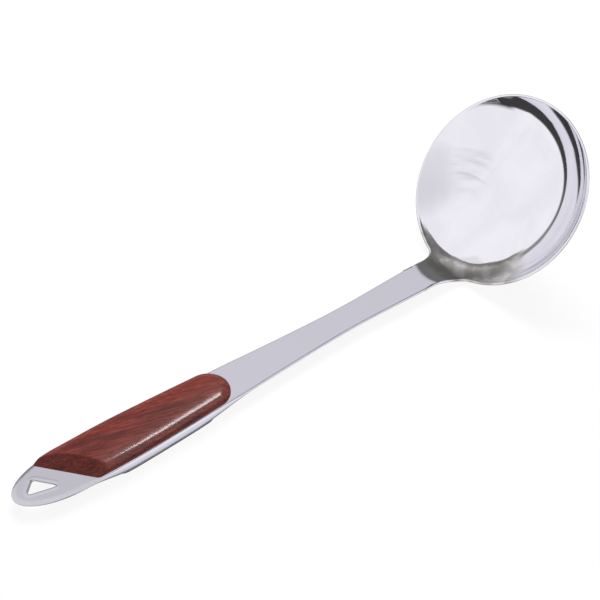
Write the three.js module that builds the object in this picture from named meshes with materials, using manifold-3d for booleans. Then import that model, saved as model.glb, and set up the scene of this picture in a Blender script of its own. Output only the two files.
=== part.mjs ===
// A steel soup ladle with a wood-grain grip, lying at rest on its bowl and on its grip.
// Units are millimetres, +Z is up, +X runs from the hanging tab to the bowl, and the XZ plane is the
// ladle's plane of symmetry, apart from the slanted cut of the grip and the hanging hole beside it.
// While the shapes are made, X is measured from the centre of the rim. The whole ladle is moved last,
// so that the origin is at the middle of its footprint.

import * as THREE from 'three';
import { mergeVertices } from 'three/addons/utils/BufferGeometryUtils.js';
import Module from 'manifold-3d';

const wasm = await Module();
wasm.setup();

// ---------------------------------------------------------------- driving dimensions

const SHEET = 1.3;               // thickness of the pressed steel
const GAP = 0.3;                 // clearance between neighbouring pieces

const RIM_RADIUS = 45;           // inside radius of the rim
const BOWL_DEPTH = 20.3;         // from the rim plane to the inside of the bottom
const BOWL_FLATNESS = 0.8;       // height over width of the spheroid that the bowl is a cap of
const BOWL_TILT = THREE.MathUtils.degToRad(49.5);   // rim plane against the handle

const HANDLE_DROP = 30.2;        // from the rim's centre down to the handle's top face
const NECK_RISE = THREE.MathUtils.degToRad(16.4);   // how steeply the neck climbs to the handle
const NECK_EASE = 0.6;           // run over which the bowl's wall turns into the neck
const SEAM_X = -50;              // weld between the bowl's neck and the handle
const BEND_SOFTNESS = 1.4;       // height over which the neck turns into the handle
const NECK_FILLET = 10;          // radius of the corners between the neck and the rim
const NECK_SIDE = 0.9;           // the neck lies beyond this share of the rim's radius
const BOWL_RINGS = [0.18, 0.36, 0.52, 0.66, 0.78, 0.88, 0.95, 1];   // as shares of the rim's radius
const NECK_RINGS = [0.2, 0.4, 0.6, 0.8, 1];                         // as shares of the way out
const RIM_FACETS = 44;           // around the rim, the neck left out
const FILLET_FACETS = 6;         // round each corner between the neck and the rim
const SIDE_FACETS = 4;           // along each side of the neck
const NECK_FACETS = 10;          // across the neck

const TIP_X = -265;              // free end of the hanging tab
const TAB_LENGTH = 27;           // length of the tab's half ellipse
const TAB_HALF_WIDTH = 12.5;
const HANDLE_OUTLINE = [         // x and half width, from the seam to the tab
  [SEAM_X, 8.0], [-92, 7.0], [-130, 8.4], [-168, 10.6], [-212, 12.6], [TIP_X + TAB_LENGTH, TAB_HALF_WIDTH],
];

const FLANGE_DEPTH = 4.7;        // turned-down side of the handle under the grip, top face included
const FLANGE_START = [-150, -184];   // the flange deepens between these two stations
const FLANGE_END = [-214, -238];     // and fades out between these two
const FLANGE_RUN_IN = 1.5;           // both ends start where it is already a little deep
const FLANGE_STEP = 0.05;            // the flange stands this far inside the plate's edge

const SCALE_MARGIN = 0.6;        // steel left showing beside the grip scale
const SCALE_HEIGHT = 3.3;        // at the edge of the crowned top face
const SCALE_CROWN = 0.7;         // rise from that edge to the middle
const CROWN_STEPS = 3;
const SCALE_SHOULDER = 1.7;      // height of the scale's nearly upright side
const SCALE_DRAFT = 0.2;         // how far that side leans in
const SCALE_BEVEL = 3.9;         // how far the edge of the top face is drawn in
const SCALE_ROUND_X = -168;      // where the rounded end of the scale begins
const SCALE_END_X = -158.7;
const CUT_X = -241.4;            // the slanted cut crosses the centre line here
const CUT_SLOPE = -0.817;        // change of x along the cut for each millimetre of y
const CUT_BEVEL = 5.6;           // run of the sloping face above the cut

const COVER_START_X = -167;      // back cover of the grip
const COVER_END_X = -227;
const COVER_ROUND = 9;           // length of its rounded ends
const COVER_LIP_DROP = 0.6;      // the lip is at least this far below the cover's top

const SCREW_STATIONS = [-182, -216];
const SCREW_RADIUS = 1.3;
const SCREW_HEAD_RADIUS = 2.9;
const SCREW_HEAD_HEIGHT = 1.5;
const SCREW_RECESS = 0.4;        // depth of the head below the cover's face
const INSERT_RADIUS = 2.3;
const INSERT_HEIGHT = 2.2;

const HOLE_CORNERS = [[-259.7, -1.2], [-253.4, 4.7], [-245.6, -4.9]];   // hanging hole
const HOLE_CORNER_RADIUS = 1.3;

const PAST = 1;                  // how far a cutting shape runs past the face that it cuts

// ---------------------------------------------------------------- values that follow

const spheroidHigh = ((BOWL_FLATNESS * RIM_RADIUS) ** 2 - BOWL_DEPTH ** 2) / (2 * BOWL_DEPTH);
const spheroidHalfHeight = spheroidHigh + BOWL_DEPTH;
const spheroidRadius = spheroidHalfHeight / BOWL_FLATNESS;
const rimSlope = (RIM_RADIUS / spheroidRadius ** 2) / (spheroidHigh / spheroidHalfHeight ** 2);

const sinTilt = Math.sin(BOWL_TILT);
const cosTilt = Math.cos(BOWL_TILT);
const rimCentreZ = Math.hypot(spheroidRadius * sinTilt, spheroidHalfHeight * cosTilt)
  + SHEET - spheroidHigh * cosTilt;
const neckSlope = Math.tan(NECK_RISE + BOWL_TILT);
const STEEL_TOP = rimCentreZ - HANDLE_DROP;

// ---------------------------------------------------------------- helpers

const smooth = (from, to, value) => {
  const t = THREE.MathUtils.clamp((value - from) / (to - from), 0, 1);
  return t * t * (3 - 2 * t);
};

// The smaller of two heights, with the corner between them rounded.
const softMinimum = (a, b, softness) => {
  const near = Math.max(softness - Math.abs(a - b), 0) / softness;
  return Math.min(a, b) - near * near * softness / 4;
};

const geometryOf = (positions, indices) => {
  const geometry = new THREE.BufferGeometry();
  geometry.setAttribute('position', new THREE.Float32BufferAttribute(positions, 3));
  geometry.setIndex(indices);
  return geometry;
};

// A closed body through loops of points that all have the same number of corners. Each of the two
// end loops lies in a plane across one of the axes.
const loft = (loops) => {
  const count = loops[0].length;
  const indices = [];
  for (let layer = 0; layer < loops.length - 1; layer += 1) {
    for (let i = 0; i < count; i += 1) {
      const a = layer * count + i;
      const b = layer * count + (i + 1) % count;
      indices.push(a, b, b + count, a, b + count, a + count);
    }
  }
  const cap = (loop, first, reversed) => {
    const across = [0, 1, 2].find((axis) => loop.every((point) => point[axis] === loop[0][axis]));
    const [u, v] = [0, 1, 2].filter((axis) => axis !== across);
    const contour = loop.map((point) => new THREE.Vector2(point[u], point[v]));
    const sense = Math.sign(THREE.ShapeUtils.area(contour));
    THREE.ShapeUtils.triangulateShape(contour, []).forEach(([a, b, c]) => {
      const area = THREE.ShapeUtils.area([contour[a], contour[b], contour[c]]);
      const order = (Math.sign(area) === sense) !== reversed ? [a, b, c] : [a, c, b];
      indices.push(...order.map((corner) => corner + first));
    });
  };
  cap(loops[0], 0, true);
  cap(loops[loops.length - 1], (loops.length - 1) * count, false);
  return geometryOf(loops.flat(2), indices);
};

const solidOf = (geometry) => {
  const bare = geometry.clone();
  bare.deleteAttribute('normal');
  bare.deleteAttribute('uv');
  const merged = mergeVertices(bare, 1e-4);
  return new wasm.Manifold(new wasm.Mesh({
    numProp: 3,
    vertProperties: Float32Array.from(merged.attributes.position.array),
    triVerts: Uint32Array.from(merged.index.array),
  }));
};

const geometryOfSolid = (solid) => {
  const mesh = solid.getMesh();
  return geometryOf(Array.from(mesh.vertProperties), Array.from(mesh.triVerts));
};

// A turned body: the profile is a list of [radius, z] and stands at (x, 0).
const turned = (profile, x) => {
  const points = profile.map(([radius, z]) => new THREE.Vector2(radius, z));
  const geometry = new THREE.LatheGeometry(points, 24);
  geometry.rotateX(Math.PI / 2);
  geometry.translate(x, 0, 0);
  return geometry;
};

const plug = (x, radius, low, high) => turned([[0, low], [radius, low], [radius, high], [0, high]], x);

const piece = (name, geometry, look) => {
  const mesh = new THREE.Mesh(geometry, new THREE.MeshStandardMaterial(look));
  mesh.name = name;
  return mesh;
};

// ---------------------------------------------------------------- looks

const POLISHED_STEEL = { color: 0xd9d7de, roughness: 0.08, metalness: 1 };
const SATIN_STEEL = { color: 0xc6c4cc, roughness: 0.3, metalness: 1 };
const WOOD_GRAIN = { color: 0x7d3f40, roughness: 0.2, metalness: 0 };
const DARK_PLASTIC = { color: 0x2b2528, roughness: 0.45, metalness: 0 };
const ZINC = { color: 0xb4b4b0, roughness: 0.4, metalness: 1 };
const BRASS = { color: 0xb8923e, roughness: 0.35, metalness: 1 };

// ---------------------------------------------------------------- bowl with its neck

// Inside height of the bowl's sheet above the rim plane, at a place (x, y) in that plane.
const insideHeight = (x, y) => {
  const radius = Math.hypot(x, y);
  if (radius <= RIM_RADIUS) {
    return spheroidHigh - spheroidHalfHeight * Math.sqrt(1 - (radius / spheroidRadius) ** 2);
  }
  const beyond = radius - RIM_RADIUS;
  const wall = rimSlope * beyond + (neckSlope - rimSlope) * beyond ** 2 / (beyond + NECK_EASE);
  if (x > -NECK_SIDE * RIM_RADIUS) {
    return wall;
  }
  const handle = (STEEL_TOP - rimCentreZ - x * sinTilt) / cosTilt;
  return softMinimum(wall, handle, BEND_SOFTNESS);
};

// From the rim plane to the lying ladle.
const laid = (x, y, height) => [
  x * cosTilt - height * sinTilt,
  y,
  rimCentreZ + x * sinTilt + height * cosTilt,
];

// Where the handle's top face, at the seam, is met in the rim plane.
const seamRadius = -(SEAM_X * cosTilt + (STEEL_TOP - rimCentreZ) * sinTilt);

const neckHalfWidth = HANDLE_OUTLINE[0][1];
const neckHalfAngle = Math.atan(neckHalfWidth / seamRadius);

// Each corner between the neck's straight side and the rim is an arc round this centre.
const filletReach = RIM_RADIUS + NECK_FILLET;
const filletAngle = Math.asin((neckHalfWidth + NECK_FILLET) / filletReach);
const sideAngle = Math.atan(neckHalfWidth / (filletReach * Math.cos(filletAngle)));

// Distance from the rim's centre to the sheet's edge, at an angle from the middle of the neck.
const sheetEdge = (fromNeck) => {
  if (fromNeck <= neckHalfAngle) {
    return seamRadius / Math.cos(fromNeck);
  }
  if (fromNeck <= sideAngle) {
    return neckHalfWidth / Math.sin(fromNeck);
  }
  if (fromNeck >= filletAngle) {
    return RIM_RADIUS;
  }
  const along = filletReach * Math.cos(filletAngle - fromNeck);
  return along - Math.sqrt(Math.max(along ** 2 - filletReach ** 2 + NECK_FILLET ** 2, 0));
};

const sheetPoints = (x, y) => {
  const step = 0.01;
  const height = insideHeight(x, y);
  const normal = new THREE.Vector3(
    -(insideHeight(x + step, y) - insideHeight(x - step, y)) / (2 * step),
    -(insideHeight(x, y + step) - insideHeight(x, y - step)) / (2 * step),
    1,
  ).normalize();
  return {
    inside: laid(x, y, height),
    outside: laid(x - normal.x * SHEET, y - normal.y * SHEET, height - normal.z * SHEET),
  };
};

const bowlGeometry = () => {
  const steps = (from, to, count) => Array.from({ length: count }, (_, i) => (
    THREE.MathUtils.lerp(from, to, i / count)
  ));
  const sideStart = neckHalfWidth / Math.sin(neckHalfAngle);
  const sideEnd = neckHalfWidth / Math.sin(sideAngle);
  const side = steps(sideEnd, sideStart, SIDE_FACETS).map((radius) => Math.asin(neckHalfWidth / radius));
  const half = [...steps(filletAngle, sideAngle, FILLET_FACETS), ...side];
  const angles = [
    ...steps(-Math.PI + filletAngle, Math.PI - filletAngle, RIM_FACETS),
    ...half.map((fromNeck) => Math.PI - fromNeck),
    ...steps(neckHalfAngle, -neckHalfAngle, NECK_FACETS).map((fromNeck) => Math.PI - fromNeck),
    Math.PI + neckHalfAngle,
    ...half.slice(1).reverse().map((fromNeck) => Math.PI + fromNeck),
  ];
  const loops = [];
  const ringAt = (radiusOf) => angles.map((angle) => {
    const radius = radiusOf(Math.abs(Math.PI - Math.abs(angle)));
    return sheetPoints(radius * Math.cos(angle), radius * Math.sin(angle));
  });
  BOWL_RINGS.forEach((share) => loops.push(ringAt(() => share * RIM_RADIUS)));
  // Away from the neck these rings are a hair apart, so that no facet has zero area.
  NECK_RINGS.forEach((share) => {
    const slack = 1e-3 * share;
    loops.push(ringAt((fromNeck) => {
      const edge = Math.max(sheetEdge(fromNeck), RIM_RADIUS);
      return RIM_RADIUS + (edge - RIM_RADIUS) * share + slack;
    }));
  });
  const positions = [];
  const count = angles.length;
  const centre = sheetPoints(0, 0);
  loops.forEach((loop) => loop.forEach((point) => positions.push(...point.inside)));
  loops.forEach((loop) => loop.forEach((point) => positions.push(...point.outside)));
  const outsideFirst = loops.length * count;
  const insideCentre = positions.length / 3;
  positions.push(...centre.inside, ...centre.outside);
  const indices = [];
  const quad = (a, b, c, d) => indices.push(a, b, c, a, c, d);
  for (let i = 0; i < count; i += 1) {
    const next = (i + 1) % count;
    indices.push(insideCentre, i, next);
    indices.push(insideCentre + 1, outsideFirst + next, outsideFirst + i);
    for (let ring = 0; ring < loops.length - 1; ring += 1) {
      const low = ring * count;
      const high = low + count;
      quad(low + i, high + i, high + next, low + next);
      quad(outsideFirst + low + i, outsideFirst + low + next, outsideFirst + high + next,
        outsideFirst + high + i);
    }
    const edge = (loops.length - 1) * count;
    quad(edge + i, outsideFirst + edge + i, outsideFirst + edge + next, edge + next);
  }
  return geometryOf(positions, indices);
};

// ---------------------------------------------------------------- handle: shank, grip bed and tab

// Half width of the handle's plan at a station x: a smooth curve through the outline's points, and half
// an ellipse at the tab.
const handleHalfWidth = (x) => {
  const tabStart = TIP_X + TAB_LENGTH;
  if (x <= tabStart) {
    return TAB_HALF_WIDTH * Math.sqrt(Math.max(1 - ((tabStart - x) / TAB_LENGTH) ** 2, 0));
  }
  const knots = HANDLE_OUTLINE;
  const last = knots.length - 1;
  const slope = (i) => {
    if (i === last) {
      return 0;
    }
    const before = Math.max(i - 1, 0);
    return (knots[i + 1][1] - knots[before][1]) / (knots[i + 1][0] - knots[before][0]);
  };
  let i = 0;
  while (i < last - 1 && x < knots[i + 1][0]) {
    i += 1;
  }
  const span = knots[i + 1][0] - knots[i][0];
  const t = (x - knots[i][0]) / span;
  const [, from] = knots[i];
  const [, to] = knots[i + 1];
  return (2 * t ** 3 - 3 * t ** 2 + 1) * from + (t ** 3 - 2 * t ** 2 + t) * span * slope(i)
    + (3 * t ** 2 - 2 * t ** 3) * to + (t ** 3 - t ** 2) * span * slope(i + 1);
};

const flangeDepth = (x) => {
  const share = smooth(FLANGE_START[0], FLANGE_START[1], x) * smooth(FLANGE_END[1], FLANGE_END[0], x);
  return SHEET + (FLANGE_DEPTH - SHEET) * share;
};

// Stations along x, set closer together towards the end `to`.
const easedStations = (from, to, count) => Array.from({ length: count + 1 }, (_, i) => (
  from + (to - from) * Math.sin(i / count * Math.PI / 2)
));

const handlePlan = () => {
  const tabStart = TIP_X + TAB_LENGTH;
  const straight = Array.from({ length: 24 }, (_, i) => (
    THREE.MathUtils.lerp(SEAM_X - GAP, tabStart, i / 24)
  ));
  const stations = [...straight, ...easedStations(tabStart, TIP_X, 10)];
  const upper = stations.map((x) => new THREE.Vector2(x, handleHalfWidth(x)));
  const lower = stations.slice(0, -1).reverse().map((x) => new THREE.Vector2(x, -handleHalfWidth(x)));
  return new THREE.Shape([...upper, ...lower]);
};

// A triangle with rounded corners.
const hangingHole = () => {
  const corners = HOLE_CORNERS.map(([x, y]) => new THREE.Vector2(x, y));
  const path = new THREE.Path();
  corners.forEach((corner, i) => {
    const before = corners[(i + 2) % 3].clone().sub(corner).normalize();
    const after = corners[(i + 1) % 3].clone().sub(corner).normalize();
    const half = before.angleTo(after) / 2;
    const reach = HOLE_CORNER_RADIUS / Math.tan(half);
    const entry = corner.clone().addScaledVector(before, reach);
    const exit = corner.clone().addScaledVector(after, reach);
    if (i === 0) {
      path.moveTo(entry.x, entry.y);
    } else {
      path.lineTo(entry.x, entry.y);
    }
    path.quadraticCurveTo(corner.x, corner.y, exit.x, exit.y);
  });
  path.closePath();
  return path;
};

// One turned-down side of the handle, from just beyond one shallow end to just beyond the other.
const flangeGeometry = (side) => {
  const count = 20;
  const loops = [];
  for (let i = 0; i <= count; i += 1) {
    const x = THREE.MathUtils.lerp(FLANGE_END[1] + FLANGE_RUN_IN, FLANGE_START[0] - FLANGE_RUN_IN, i / count);
    const outer = handleHalfWidth(x) - FLANGE_STEP;
    const inner = outer - SHEET;
    const low = STEEL_TOP - flangeDepth(x);
    const high = STEEL_TOP - SHEET / 2;
    const corners = [[x, inner, low], [x, outer, low], [x, outer, high], [x, inner, high]];
    loops.push(side > 0 ? corners : corners.map(([a, b, c]) => [a, -b, c]).reverse());
  }
  return loft(loops);
};

const handleGeometry = () => {
  const plan = handlePlan();
  plan.holes.push(hangingHole());
  const plate = new THREE.ExtrudeGeometry(plan, { depth: SHEET, bevelEnabled: false, curveSegments: 5 });
  plate.translate(0, 0, STEEL_TOP - SHEET);
  let solid = solidOf(plate);
  [1, -1].forEach((side) => {
    solid = solid.add(solidOf(flangeGeometry(side)));
  });
  SCREW_STATIONS.forEach((x) => {
    solid = solid.subtract(solidOf(plug(x, INSERT_RADIUS + GAP, 0, STEEL_TOP + PAST)));
  });
  return geometryOfSolid(solid);
};

// ---------------------------------------------------------------- grip scale

// Half width of the scale at x, drawn in by `inset`, with its rounded end.
const scaleHalfWidth = (x, inset) => {
  const side = handleHalfWidth(x) - SCALE_MARGIN - inset;
  const round = THREE.MathUtils.clamp((x - SCALE_ROUND_X) / (SCALE_END_X - inset - SCALE_ROUND_X), 0, 1);
  return side * Math.sqrt(1 - round ** 2);
};

// Plan of the scale at one level: its sides are drawn in and the cut is moved back by its bevel.
const scaleLoop = (inset, cutBack, z) => {
  const shift = cutBack / Math.sin(Math.atan(-1 / CUT_SLOPE));
  const cutStart = (side) => {
    let x = CUT_X;
    for (let i = 0; i < 20; i += 1) {
      x = CUT_X + shift + CUT_SLOPE * side * scaleHalfWidth(x, inset);
    }
    return x;
  };
  const end = SCALE_END_X - inset;
  const stationsFrom = (start) => {
    const flat = Array.from({ length: 10 }, (_, i) => THREE.MathUtils.lerp(start, SCALE_ROUND_X, i / 10));
    return [...flat, ...easedStations(SCALE_ROUND_X, end, 9)];
  };
  const lower = stationsFrom(cutStart(-1)).map((x) => [x, -scaleHalfWidth(x, inset), z]);
  const upper = stationsFrom(cutStart(1)).map((x) => [x, scaleHalfWidth(x, inset), z]);
  return [...lower, ...upper.slice(0, -1).reverse()];
};

const scaleGeometry = () => {
  const base = STEEL_TOP + GAP;
  const shoulderCut = CUT_BEVEL * SCALE_SHOULDER / SCALE_HEIGHT;
  const loops = [
    scaleLoop(0, 0, base),
    scaleLoop(SCALE_DRAFT, shoulderCut, base + SCALE_SHOULDER),
  ];
  const halfTop = handleHalfWidth(SCALE_ROUND_X) - SCALE_MARGIN - SCALE_BEVEL;
  for (let i = 0; i <= CROWN_STEPS; i += 1) {
    const inward = i / (CROWN_STEPS + 1);
    const height = SCALE_HEIGHT + SCALE_CROWN * (1 - (1 - inward) ** 2);
    const cutBack = CUT_BEVEL * height / SCALE_HEIGHT;
    loops.push(scaleLoop(SCALE_BEVEL + halfTop * inward, cutBack, base + height));
  }
  let solid = solidOf(loft(loops));
  SCREW_STATIONS.forEach((x) => {
    const pocket = plug(x, INSERT_RADIUS + GAP, base - PAST, base + INSERT_HEIGHT + GAP);
    solid = solid.subtract(solidOf(pocket));
  });
  return geometryOfSolid(solid);
};

// ---------------------------------------------------------------- back cover, screws and inserts

// The cover fills the handle's channel, and its lip comes out under the turned-down sides.
const coverGeometry = () => {
  const count = 30;
  const nearlyEnd = 0.02;
  const top = STEEL_TOP - SHEET - GAP;
  const length = COVER_START_X - COVER_END_X;
  const loops = [];
  for (let i = 0; i <= count; i += 1) {
    const x = COVER_START_X - length * (1 - Math.cos(Math.PI * i / count)) / 2;
    const toEnd = Math.min(COVER_START_X - x, x - COVER_END_X);
    const share = 1 - THREE.MathUtils.clamp(toEnd / COVER_ROUND, nearlyEnd, 1);
    const round = Math.sqrt(1 - share ** 2);
    const outer = (handleHalfWidth(x) - GAP) * round;
    const inner = (handleHalfWidth(x) - SHEET - GAP) * round;
    const lip = Math.min(STEEL_TOP - flangeDepth(x) - GAP, top - COVER_LIP_DROP);
    loops.push([
      [x, -outer, 0], [x, -outer, lip], [x, -inner, lip], [x, -inner, top],
      [x, inner, top], [x, inner, lip], [x, outer, lip], [x, outer, 0],
    ]);
  }
  let solid = solidOf(loft(loops));
  SCREW_STATIONS.forEach((x) => {
    const head = SCREW_HEAD_RADIUS + GAP;
    const hole = SCREW_RADIUS + GAP;
    const sink = turned([
      [0, -PAST],
      [head, -PAST],
      [head, SCREW_RECESS],
      [hole, SCREW_RECESS + SCREW_HEAD_HEIGHT],
      [hole, top + PAST],
      [0, top + PAST],
    ], x);
    solid = solid.subtract(solidOf(sink));
  });
  return geometryOfSolid(solid);
};

const insertBottom = STEEL_TOP + GAP / 2;

const screwGeometry = (x) => {
  const point = insertBottom + INSERT_HEIGHT - GAP;
  return turned([
    [0, SCREW_RECESS],
    [SCREW_HEAD_RADIUS, SCREW_RECESS],
    [SCREW_RADIUS, SCREW_RECESS + SCREW_HEAD_HEIGHT],
    [SCREW_RADIUS, point],
    [0, point],
  ], x);
};

const insertGeometry = (x) => {
  const high = insertBottom + INSERT_HEIGHT;
  const bore = SCREW_RADIUS + GAP;
  return turned([
    [bore, insertBottom],
    [INSERT_RADIUS, insertBottom],
    [INSERT_RADIUS, high],
    [bore, high],
    [bore, insertBottom],
  ], x);
};

// ---------------------------------------------------------------- assembly

const ladle = new THREE.Group();
ladle.add(piece('bowl', bowlGeometry(), POLISHED_STEEL));
ladle.add(piece('handle', handleGeometry(), SATIN_STEEL));
ladle.add(piece('grip_scale', scaleGeometry(), WOOD_GRAIN));
ladle.add(piece('back_cover', coverGeometry(), DARK_PLASTIC));
SCREW_STATIONS.forEach((x, i) => {
  ladle.add(piece(`screw_${i + 1}`, screwGeometry(x), ZINC));
  ladle.add(piece(`threaded_insert_${i + 1}`, insertGeometry(x), BRASS));
});

const bounds = new THREE.Box3().setFromObject(ladle);
ladle.position.set(-(bounds.min.x + bounds.max.x) / 2, 0, -bounds.min.z);

export default ladle;
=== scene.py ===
"""Looks of the steel soup ladle: bowl, handle, grip, back cover, screws, light and camera.

Everything is in metres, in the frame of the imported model. X along the ladle is given from the rim's
centre, in millimetres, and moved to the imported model's frame as the last step of each piece.
"""
import math

import bmesh
import bpy
from mathutils import Matrix, Vector
from mathutils.geometry import tessellate_polygon


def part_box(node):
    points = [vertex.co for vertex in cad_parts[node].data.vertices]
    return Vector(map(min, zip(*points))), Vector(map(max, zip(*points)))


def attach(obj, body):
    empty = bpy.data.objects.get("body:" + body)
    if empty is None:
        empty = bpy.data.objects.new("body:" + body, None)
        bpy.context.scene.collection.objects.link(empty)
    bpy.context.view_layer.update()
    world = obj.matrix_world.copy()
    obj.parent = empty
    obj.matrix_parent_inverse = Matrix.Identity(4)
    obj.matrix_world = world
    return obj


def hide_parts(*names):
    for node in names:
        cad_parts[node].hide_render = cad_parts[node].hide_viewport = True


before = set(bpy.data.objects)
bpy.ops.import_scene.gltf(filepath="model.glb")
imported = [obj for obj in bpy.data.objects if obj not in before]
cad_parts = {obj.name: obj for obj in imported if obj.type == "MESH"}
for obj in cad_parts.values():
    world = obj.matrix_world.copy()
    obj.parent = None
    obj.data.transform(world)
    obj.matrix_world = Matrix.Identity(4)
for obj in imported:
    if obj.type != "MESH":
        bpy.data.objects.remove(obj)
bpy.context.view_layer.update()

MM = 0.001

# ---------------------------------------------------------------- dimensions, in millimetres

SHEET = 1.3            # thickness of the steel
GAP = 0.3              # clearance between pieces
RIM_RADIUS = 45.0
BOWL_DEPTH = 20.3
BOWL_FLATNESS = 0.8    # height over width of the ellipse that the inside is turned from
BOWL_TILT = math.radians(49.5)
HANDLE_DROP = 30.2     # from the rim's centre down to the handle's top face
NECK_RISE = math.radians(16.4)
NECK_EASE = 0.6
NECK_SIDE = 0.9        # beyond this share of the rim's radius the wall may bend into the handle
SEAM_X = -50.0
SEAM_CREEP = (0.12, 0.14)      # how far bowl and handle reach into the seam's gap, ground shut
BEND_SOFTNESS = 1.4
NECK_FILLET = 10.0
TIP_X = -265.0
TAB_LENGTH = 27.0
TAB_HALF_WIDTH = 12.5
HANDLE_OUTLINE = [(SEAM_X, 8.0), (-92, 7.0), (-130, 8.4), (-168, 10.6), (-212, 12.6),
                  (TIP_X + TAB_LENGTH, TAB_HALF_WIDTH)]
FLANGE_DEPTH = 4.7
FLANGE_START = (-150, -184)
FLANGE_END = (-214, -238)
SCALE_MARGIN = 0.6
SCALE_HEIGHT = 3.3
SCALE_CROWN = 0.7
SCALE_BEVEL = 3.9
SCALE_ROUND_X = -168.0
SCALE_END_X = -158.7
CUT_X = -241.4
CUT_SLOPE = -0.817
CUT_BEVEL = 5.6
COVER_START_X = -167.0
COVER_END_X = -227.0
COVER_ROUND = 9.0
SCREW_STATIONS = (-182.0, -216.0)
SCREW_RADIUS = 1.3
SCREW_HEAD_RADIUS = 2.9
SCREW_HEAD_HEIGHT = 1.5
SCREW_RECESS = 0.4
INSERT_RADIUS = 2.3
HOLE_CORNERS = [(-259.7, -1.2), (-253.4, 4.7), (-245.6, -4.9)]
HOLE_CORNER_RADIUS = 1.3

# Seen only in the looks. Each edge is the width and the drop of its rounding.
FACET_ROOM = 0.06      # keeps the smooth bowl inside the box of the faceted one
BARE_EDGE = (0.65, 0.64)
BED_EDGE = (1.9, 1.9)
TAB_EDGE = (2.6, 0.62)
LOWER_EDGE = 0.6
TAB_EDGE_X = (-226, -240)
RECESS_DEPTH = 0.75
SCREW_REACH = 2.2
DENTS_AND_PAINTED_REFLECTION_CENTRE = (-10.2, 7.9)      # in the rim's plane: outside this the wall has dents and a painted dark reflection
DENTS_AND_PAINTED_REFLECTION_RADIUS = 30.4

# The inside of the bowl is part of a half-ellipse that is turned about the bowl's axis.
spheroid_high = ((BOWL_FLATNESS * RIM_RADIUS) ** 2 - BOWL_DEPTH ** 2) / (2 * BOWL_DEPTH)
spheroid_half = spheroid_high + BOWL_DEPTH
spheroid_radius = spheroid_half / BOWL_FLATNESS
rim_slope = (RIM_RADIUS / spheroid_radius ** 2) / (spheroid_high / spheroid_half ** 2)
neck_slope = math.tan(NECK_RISE + BOWL_TILT)
sin_tilt = math.sin(BOWL_TILT)
cos_tilt = math.cos(BOWL_TILT)
rim_z = (math.hypot(spheroid_radius * sin_tilt, spheroid_half * cos_tilt)
         + SHEET - spheroid_high * cos_tilt)
steel_top = rim_z - HANDLE_DROP
seam_radius = -(SEAM_X * cos_tilt + (steel_top - rim_z) * sin_tilt)
neck_half_width = HANDLE_OUTLINE[0][1]
neck_half_angle = math.atan(neck_half_width / seam_radius)
fillet_reach = RIM_RADIUS + NECK_FILLET
fillet_angle = math.asin((neck_half_width + NECK_FILLET) / fillet_reach)
side_angle = math.atan(neck_half_width / (fillet_reach * math.cos(fillet_angle)))

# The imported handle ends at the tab's tip: this gives the frame's X of the rim's centre.
handle_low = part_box("handle")[0]
shift_x = handle_low.x / MM - TIP_X


# ---------------------------------------------------------------- helpers

def clamp(value, low=0.0, high=1.0):
    return max(low, min(high, value))


def lerp(a, b, t):
    return a + (b - a) * t


def smooth(start, end, value):
    t = clamp((value - start) / (end - start))
    return t * t * (3 - 2 * t)


def soft_minimum(a, b, softness):
    """The lower of two heights, with the corner between them rounded."""
    near = max(softness - abs(a - b), 0) / softness
    return min(a, b) - near * near * softness / 4


def mesh_object(name, verts, faces, smooth_angle=35.0):
    """A named object from points in millimetres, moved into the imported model's frame."""
    mesh = bpy.data.meshes.new(name)
    moved = [((x + shift_x) * MM, y * MM, z * MM) for x, y, z in verts]
    mesh.from_pydata(moved, [], faces)
    mesh.validate()
    bm = bmesh.new()
    bm.from_mesh(mesh)
    bmesh.ops.recalc_face_normals(bm, faces=bm.faces)
    bm.to_mesh(mesh)
    bm.free()
    for polygon in mesh.polygons:
        polygon.use_smooth = True
    mesh.set_sharp_from_angle(angle=math.radians(smooth_angle))
    obj = bpy.data.objects.new(name, mesh)
    bpy.context.scene.collection.objects.link(obj)
    return obj


def strip(faces, first, second, count, closed=True):
    """Quads between two loops of points, given the index that each starts at."""
    last = count if closed else count - 1
    for i in range(last):
        j = (i + 1) % count
        faces.append((first + i, first + j, second + j, second + i))


def circle(verts, x, radius, height, steps):
    """Adds a ring of points round a screw's axis and gives the index that it starts at."""
    first = len(verts)
    for k in range(steps):
        t = 2 * math.pi * k / steps
        verts.append((x + radius * math.cos(t), radius * math.sin(t), height))
    return first


def rounded(entry, corner, leave, t):
    """Point at share t of a corner that is rounded between a point on each of its sides."""
    return entry * (1 - t) ** 2 + corner * (2 * t * (1 - t)) + leave * t ** 2


def fill(verts, faces, loops):
    """Flat fill between an outer loop and the loops of holes, each a list of point indices."""
    flat = [i for loop in loops for i in loop]
    lines = [[Vector((verts[i][0], verts[i][1], 0)) for i in loop] for loop in loops]
    for a, b, c in tessellate_polygon(lines):
        faces.append((flat[a], flat[b], flat[c]))


# ---------------------------------------------------------------- bowl and neck

def inside_height(x, y):
    """Height of the sheet's inner face over the rim's plane: the bowl, its neck, the handle."""
    radius = math.hypot(x, y)
    if radius <= RIM_RADIUS:
        return spheroid_high - spheroid_half * math.sqrt(1 - (radius / spheroid_radius) ** 2)
    beyond = radius - RIM_RADIUS
    wall = rim_slope * beyond + (neck_slope - rim_slope) * beyond ** 2 / (beyond + NECK_EASE)
    if x > -NECK_SIDE * RIM_RADIUS:
        return wall
    handle = (steel_top - rim_z - x * sin_tilt) / cos_tilt
    return soft_minimum(wall, handle, BEND_SOFTNESS)


def laid(x, y, height):
    """From the rim's plane to the frame in which the ladle lies."""
    return Vector((x * cos_tilt - height * sin_tilt, y,
                   rim_z + x * sin_tilt + height * cos_tilt))


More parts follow.
